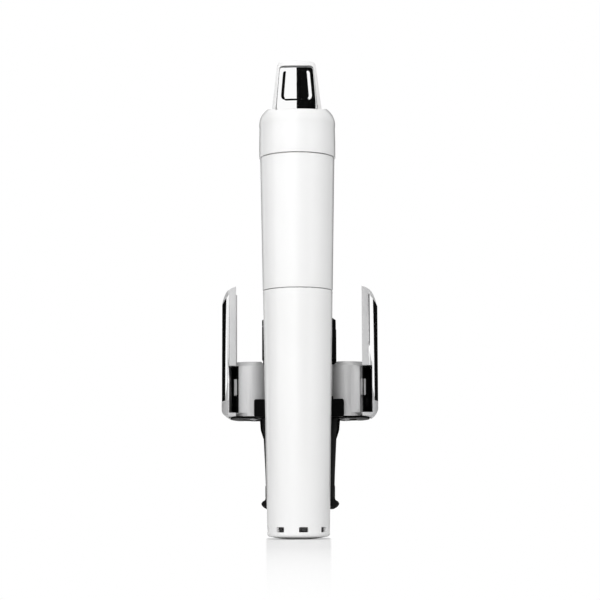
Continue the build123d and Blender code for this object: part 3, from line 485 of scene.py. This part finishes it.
def leverPlate(p):
    across, upward = crowded(p["columns"], p["columnCrowd"]), crowded(p["rows"], p["rowCrowd"])
    corners = []
    for v in upward:
        z = p["low"] + (p["high"] - p["low"]) * (v + 1) / 2
        half = leverHalf(z) - roundFall(min(z - p["low"], p["high"] - z), p["corner"])
        corners += [platePoint(p, u * half, z) for u in across]
    wide, high = len(across), len(upward)
    faces = [(r * wide + c, r * wide + c + 1, (r + 1) * wide + c + 1, (r + 1) * wide + c)
             for r in range(high - 1) for c in range(wide - 1)]
    # the rim, followed once round, is carried to the plate's inner face, which closes on its middle
    rim = list(range(wide)) + [r * wide + wide - 1 for r in range(1, high)]
    rim += [(high - 1) * wide + c for c in range(wide - 2, -1, -1)]
    rim += [r * wide for r in range(high - 2, 0, -1)]
    centre, inner = p["bulge"] - p["rear"], p["bulge"] - p["thick"]
    start = len(corners)
    for k in rim:
        x, _, z = corners[k]
        corners.append((x, centre - math.sqrt(inner ** 2 - x ** 2), z))
    middle = len(corners)
    corners.append((0.0, centre - inner, (p["low"] + p["high"]) / 2))
    for k in range(len(rim)):
        after = (k + 1) % len(rim)
        faces.append((rim[k], start + k, start + after, rim[after]))
        faces.append((start + k, middle, start + after))
    return solid("plate", corners, faces)


def knucklePiece(p):
    # a round bar along the pivot, with chamfered ends
    half, edge = p["knuckleHalf"], p["knuckleEdge"]
    angles = [2 * math.pi * k / p["knuckleSteps"] for k in range(p["knuckleSteps"])]
    rings = []
    for x, short in ((-half, edge), (edge - half, 0.0), (half - edge, 0.0), (half, edge)):
        radius = p["knuckle"] - short
        rings.append([(x, p["pivotY"] + radius * math.cos(a), p["pivotZ"] + radius * math.sin(a))
                      for a in angles])
    return stacked("knuckle", rings)


leverParts = [leverPlate(lever), knucklePiece(lever)]
for block in ("foot", "stalk", "nose", "rib"):
    leverParts.append(softened(box(block, *lever[block]), lever["blockEdge"]))
leverPiece = joined(lever["name"], leverParts)
setUp(smoothed(leverPiece, lever["sharp"]), lever)
print("trigger done,", len(leverPiece.data.polygons), "faces")

# pieces made from their CAD shape, with every edge sharper than "angle" rounded by "width"
rounded = [
    {"name": "top_cap_shell", "nodes": ["top_cap"], "width": 0.35, "steps": 3, "angle": 35},
    {"name": "front_cover_shell", "nodes": ["front_shell"], "width": 0.3, "steps": 3, "angle": 35},
    {"name": "base_body", "nodes": ["base_housing"], "width": 0.3, "steps": 2, "angle": 35},
    {"name": "stop_bumper", "nodes": ["top_bumper"], "width": 0.35, "steps": 3, "angle": 30},
    {"name": "rail_bar", "nodes": ["rail"], "width": 0.25, "steps": 2, "angle": 35},
    {"name": "base_trim", "nodes": ["base_front_cover"], "width": 0.3, "steps": 3, "angle": 35},
    {"name": "spout_pipe", "nodes": ["spout_tube"], "width": 0.2, "steps": 3, "angle": 40},
    {"name": "spout_collar", "nodes": ["spout_sleeve"], "width": 0.3, "steps": 3, "angle": 40},
    {"name": "needle_collar", "nodes": ["needle_hub"], "width": 0.25, "steps": 3, "angle": 40},
]
# the same for each side of the clamp
clampSides = [
    {"name": "ear_arm", "node": "arm", "width": 0.35, "steps": 3, "angle": 28},
    {"name": "ear_plate", "node": "ear_face", "width": 0.3, "steps": 3, "angle": 35},
    {"name": "inlay_bar", "node": "arm_inlay", "width": 0.15, "steps": 2, "angle": 35},
    {"name": "leg_shell", "node": "leg", "width": 0.25, "steps": 2, "angle": 35},
    {"name": "pad_foot", "node": "neck_pad", "width": 0.4, "steps": 3, "angle": 35},
]
for hand in ("left_", "right_"):
    rounded += [dict(spec, name=hand + spec["name"], nodes=[hand + spec["node"]]) for spec in clampSides]

# the hollow between arm and ear, its black lining and the rib inside it; -1 is the left side, 1 the right
pocket = {
    "inner": 28.3, "outer": {-1: 32.75, 1: 34.3}, "back": 18.0, "front": 46.0, "low": 58.4, "high": 80.4,
    "corner": {-1: 0.35, 1: 1.35}, "cornerAt": 23.15, "cornerSlope": 0.6,
    "lining": 0.6, "liningBack": 24.6, "liningShort": 0.8, "endBack": 45.2, "endFront": 52.2,
    "ribAt": {-1: 29.2, 1: 29.7}, "ribWide": 1.5, "ribLow": 66.8, "ribHigh": 74.4, "ribBack": 26.0,
    "ribFront": 45.0, "ribSlope": (0.4, 0.85),
}
# the arm's rear face, run on inwards beside the cup: its plan and its height
strip = {
    "low": 66.2, "high": 80.9,
    "plan": ((19.2, 23.4), (17.4, 23.95), (14.9, 24.5), (14.9, 25.6), (19.2, 25.6)),
}
# what comes off the rib at the leg's root, as seen from the rear, and off the flange above it
legTrim = {
    "back": 28.0, "front": 48.0, "flangeLow": 55.6, "flangeThin": 0.3, "near": 0.02,
    "view": ((19.1, 56.2), (18.4, 48.0), (17.8, 40.0), (27.0, 40.0), (27.0, 56.2)),
}


def pocketCutter(k, side):
    # open to the rear, with its corner on the arm's side cut off slanting
    wall, outer = k["inner"] + k["corner"][side], k["outer"][side]
    slope = k["cornerAt"] + k["cornerSlope"] * k["corner"][side]
    plan = [(outer, k["back"]), (outer, k["front"]), (wall, k["front"]), (wall, slope),
            (k["inner"], k["cornerAt"]), (k["inner"], k["back"])]
    return stacked("pocketCutter", [[(side * x, y, z) for x, y in plan] for z in (k["low"], k["high"])])


def liningPiece(k, side, name):
    # black walls on three sides of the hollow and its far end
    x0, x1, t = k["inner"] + k["corner"][side], k["outer"][side], k["lining"]
    length = (k["liningBack"], k["front"])
    walls = [(x0, x0 + t, *length, k["low"], k["high"]),
             (x0, x1, k["endBack"], k["endFront"], k["low"], k["high"]),
             (x0, x1 - k["liningShort"], *length, k["high"] - t, k["high"]),
             (x0, x1 - k["liningShort"], *length, k["low"], k["low"] + t)]
    return joined(name, [box("wall", *sorted((side * xa, side * xb)), *rest) for xa, xb, *rest in walls])


def ribPiece(k, side):
    # a small upright rib on the arm's wall inside the hollow
    x0, x1, back = k["ribAt"][side], k["ribAt"][side] + k["ribWide"], k["ribBack"]
    plan = [(x0, back), (x1, back + k["ribSlope"][1]), (x1, k["ribFront"]), (k["inner"], k["ribFront"]),
            (k["inner"], back + k["ribSlope"][0])]
    return stacked("rib", [[(side * x, y, z) for x, y in plan] for z in (k["ribLow"], k["ribHigh"])])


def innerStrip(s, side):
    return stacked("innerStrip", [[(side * x, y, z) for x, y in s["plan"]] for z in (s["low"], s["high"])])


def legCutter(t, side):
    return stacked("legCutter", [[(side * x, y, z) for x, z in t["view"]] for y in (t["back"], t["front"])])


def thinFlange(piece, t):
    # only the flange's underside moves, upwards
    for corner in piece.data.vertices:
        if abs(corner.co.z / mm - t["flangeLow"]) < t["near"]:
            corner.co.z = (t["flangeLow"] + t["flangeThin"]) * mm


def shaped(spec):
    # a piece before its edges are rounded; ears and legs get more than a copy of their node
    name, node = spec["name"], spec["nodes"][0]
    side = -1 if node.startswith("left") else 1
    if node.endswith("_arm_inlay"):
        return liningPiece(pocket, side, name)
    piece = copyOf(node, name)
    if node.endswith(("_arm", "_ear_face")):
        carved(piece, [pocketCutter(pocket, side)])
    if node.endswith("_arm"):
        piece = joined(name, [piece, ribPiece(pocket, side), innerStrip(strip, side)])
    if node.endswith("_leg"):
        thinFlange(piece, legTrim)
        carved(piece, [legCutter(legTrim, side)])
    return piece


roundedSharp = 40
for spec in rounded:
    spec["body"] = bodyOf[spec["nodes"][0]]
    spec["finish"] = slotOf[spec["nodes"][0]]
    piece = softened(shaped(spec), spec["width"], spec["steps"], spec["angle"])
    setUp(smoothed(piece, roundedSharp), spec)
print("softened pieces done:", len(rounded))

# CAD nodes that no piece replaces stay as they are and get their finishes
keptSharp = 30
kept = [name for name, piece in nodes.items() if not piece.hide_render]
for name in kept:
    nodes[name].data.materials.clear()
    nodes[name].data.materials.append(surfaces[slotOf[name]])
    smoothed(nodes[name], keptSharp)
print("CAD nodes kept with new finishes:", len(kept))

# floor, in metres: a strip from the cup towards the camera, cut to the shape of the cup's mirror image,
# keeps its shading, shadow and faint mirror image, and the camera sees plain white round it. The floor's own
# grey in the strip is therefore partly painted reflection, and partly real shading, shadow and mirror image.
# "aside" is the strip's half width at the cup, where it starts and ends to fade, "front" and "behind" are
# its ends, "meet" is how far off it would narrow to nothing, "skew" leans it towards the camera and "keep"
# is how much shows in it
floorSpec = {
    "name": "studio_floor", "half": 4.0, "diffuse": 0.89, "speckle": 0.006, "broad": 3.0,
    "mirror": 0.14, "mirrorTint": 0.93, "mirrorRough": 0.22, "keep": 0.85,
    "aside": (0.0142, 0.0150), "front": (-0.6, -0.2), "behind": (0.02, 0.06), "meet": 0.85, "skew": 0.02235,
}


def sheetPiece(name, start, end):
    # a flat sheet for the stage, square to one axis, between two opposite corners in metres
    x0, y0, z0 = start
    x1, y1, z1 = end
    corners = [(x0, y0, z0), (x1, y1, z0), (x1, y1, z1), (x0, y0, z1)]
    if z0 == z1:
        corners = [(x0, y0, z0), (x1, y0, z0), (x1, y1, z0), (x0, y1, z0)]
    piece = addMesh(name, [tuple(c / mm for c in corner) for corner in corners], [(0, 1, 2, 3)])
    return piece


def floorSurface(f):
    # matt with a little shine, and white over it outside the strip, for the camera alone; the grey left in
    # the strip is partly painted reflection
    surface = bpy.data.materials.new("paleFloor")
    tree = bareTree(surface)
    matt = tree.nodes.new("ShaderNodeBsdfDiffuse")
    shine = tree.nodes.new("ShaderNodeBsdfAnisotropic")
    shine.inputs["Color"].default_value = (f["mirrorTint"], f["mirrorTint"], f["mirrorTint"], 1)
    shine.inputs["Roughness"].default_value = f["mirrorRough"]
    speckle = noiseOf(tree, f["broad"], detail=2.0)
    tint = shades(tree, speckle, (f["diffuse"] - f["speckle"],) * 3, (f["diffuse"],) * 3)
    tree.links.new(tint, matt.inputs["Color"])
    real = mixed(tree, f["mirror"], matt.outputs[0], shine.outputs[0])
    place = tree.nodes.new("ShaderNodeTexCoord")
    apart = tree.nodes.new("ShaderNodeSeparateXYZ")
    tree.links.new(place.outputs["Object"], apart.inputs["Vector"])
    x, y = apart.outputs["X"], apart.outputs["Y"]
    # the strip narrows like the cup's mirror image, and the floor's grey inside it is a painted reflection
    offset = calc(tree, "ABSOLUTE", calc(tree, "MULTIPLY_ADD", y, f["skew"], x))
    share = calc(tree, "DIVIDE", offset, between(tree, y, 0.0, 1.0, -f["meet"], 0.0))
    aside = between(tree, share, f["keep"], 0.0, *f["aside"])
    front = between(tree, y, 0.0, 1.0, *f["front"])
    behind = between(tree, y, 1.0, 0.0, *f["behind"])
    near = calc(tree, "MULTIPLY", calc(tree, "MULTIPLY", aside, front), behind)
    path = tree.nodes.new("ShaderNodeLightPath")
    whiten = calc(tree, "MULTIPLY", calc(tree, "SUBTRACT", 1.0, near), path.outputs["Is Camera Ray"])
    white = tree.nodes.new("ShaderNodeEmission")
    out = tree.nodes.new("ShaderNodeOutputMaterial")
    tree.links.new(mixed(tree, whiten, real, white.outputs[0]), out.inputs["Surface"])
    return surface


floorReach = floorSpec["half"]
floorPiece = sheetPiece(floorSpec["name"], (-floorReach, -floorReach, 0.0), (floorReach, floorReach, 0.0))
floorPiece.data.materials.append(floorSurface(floorSpec))

# the world lights matt surfaces with "diffuse" and is seen, and mirrored, as "seen"
world = {"diffuse": 0.38, "seen": 1.0}
lamps = [
    {"name": "front_softbox", "power": 11.2, "size": 1.0, "at": (-0.25, -1.25, 0.4), "aim": (0, 0, 0.12)},
    {"name": "back_fill", "power": 4.0, "size": 1.0, "at": (0.35, 1.4, 0.7), "aim": (0, 0, 0.12)},
    {"name": "top_softbox", "power": 5.0, "size": 1.0, "at": (0, -0.2, 1.2), "aim": (0, 0, 0.1)},
]


def studioWorld(spec):
    studio = bpy.data.worlds.new("studio")
    bpy.context.scene.world = studio
    tree = bareTree(studio)
    glows = {}
    for name, strength in spec.items():
        glows[name] = tree.nodes.new("ShaderNodeBackground")
        glows[name].inputs["Color"].default_value = (1, 1, 1, 1)
        glows[name].inputs["Strength"].default_value = strength
    path = tree.nodes.new("ShaderNodeLightPath").outputs
    direct = calc(tree, "MAXIMUM", path["Is Camera Ray"], path["Is Glossy Ray"])
    direct = calc(tree, "MAXIMUM", direct, path["Is Transmission Ray"])
    out = tree.nodes.new("ShaderNodeOutputWorld")
    glow = mixed(tree, direct, glows["diffuse"].outputs[0], glows["seen"].outputs[0])
    tree.links.new(glow, out.inputs["Surface"])


def softLamp(spec):
    data = bpy.data.lights.new(spec["name"], "AREA")
    data.energy = spec["power"]
    data.shape = "SQUARE"
    data.size = spec["size"]
    lamp = bpy.data.objects.new(spec["name"], data)
    bpy.context.scene.collection.objects.link(lamp)
    lamp.location = spec["at"]
    lamp.rotation_euler = (Vector(spec["aim"]) - Vector(spec["at"])).to_track_quat("-Z", "Y").to_euler()
    lamp.visible_glossy = False


studioWorld(world)
for lampSpec in lamps:
    softLamp(lampSpec)

# black cards, in metres, for mirror-like surfaces alone: they make the dark bands in the chrome
cards = [
    {"name": "card_front_right", "start": (-0.02, -1.3, 0.02), "end": (1.05, -1.3, 2.1)},
    {"name": "card_left", "start": (-1.3, -0.35, 0.02), "end": (-1.3, 0.95, 1.4)},
    {"name": "card_back_left", "start": (-0.4, 1.5, 0.02), "end": (-1.22, 1.5, 1.4)},
    {"name": "card_back_right", "start": (0.12, 1.5, 0.02), "end": (1.1, 1.5, 1.4)},
    {"name": "card_top", "start": (-0.8, -0.8, 1.35), "end": (0.8, -0.2, 1.35)},
]
cardLook = {"dark": (0.004, 0.004, 0.004), "light": (0.008, 0.008, 0.008), "rough": 0.9, "broad": 4.0}
cardSurface, cardTree, cardShader = newSurface("blackCard")
cardNoise = noiseOf(cardTree, cardLook["broad"], detail=4.0)
cardTone = shades(cardTree, cardNoise, cardLook["dark"], cardLook["light"])
cardTree.links.new(cardTone, cardShader.inputs["Base Color"])
cardShader.inputs["Roughness"].default_value = cardLook["rough"]
cardShader.inputs["Specular IOR Level"].default_value = 0.0
for card in cards:
    sheet = sheetPiece(card["name"], card["start"], card["end"])
    sheet.data.materials.append(cardSurface)
    sheet.visible_camera = False
    sheet.visible_diffuse = False
    sheet.visible_shadow = False
    sheet.visible_transmission = False
print("floor, light and cards set")

# camera, low and close before the object: its place in metres, angles in degrees, lens in mm
view = {"at": (0.019, -0.85, 0.012), "pitch": 6.489, "turn": 1.236, "roll": 0.22, "lens": 112.055,
        "sensor": 36.0, "clipStart": 0.01, "clipEnd": 50.0}
lens = bpy.data.cameras.new("camera")
lens.lens = view["lens"]
lens.sensor_width = view["sensor"]
lens.clip_start = view["clipStart"]
lens.clip_end = view["clipEnd"]
camera = bpy.data.objects.new("camera", lens)
bpy.context.scene.collection.objects.link(camera)
camera.location = view["at"]
camera.rotation_euler = [math.radians(a) for a in (90 + view["pitch"], view["roll"], view["turn"])]
bpy.context.scene.camera = camera
bpy.context.scene.view_settings.view_transform = "Standard"
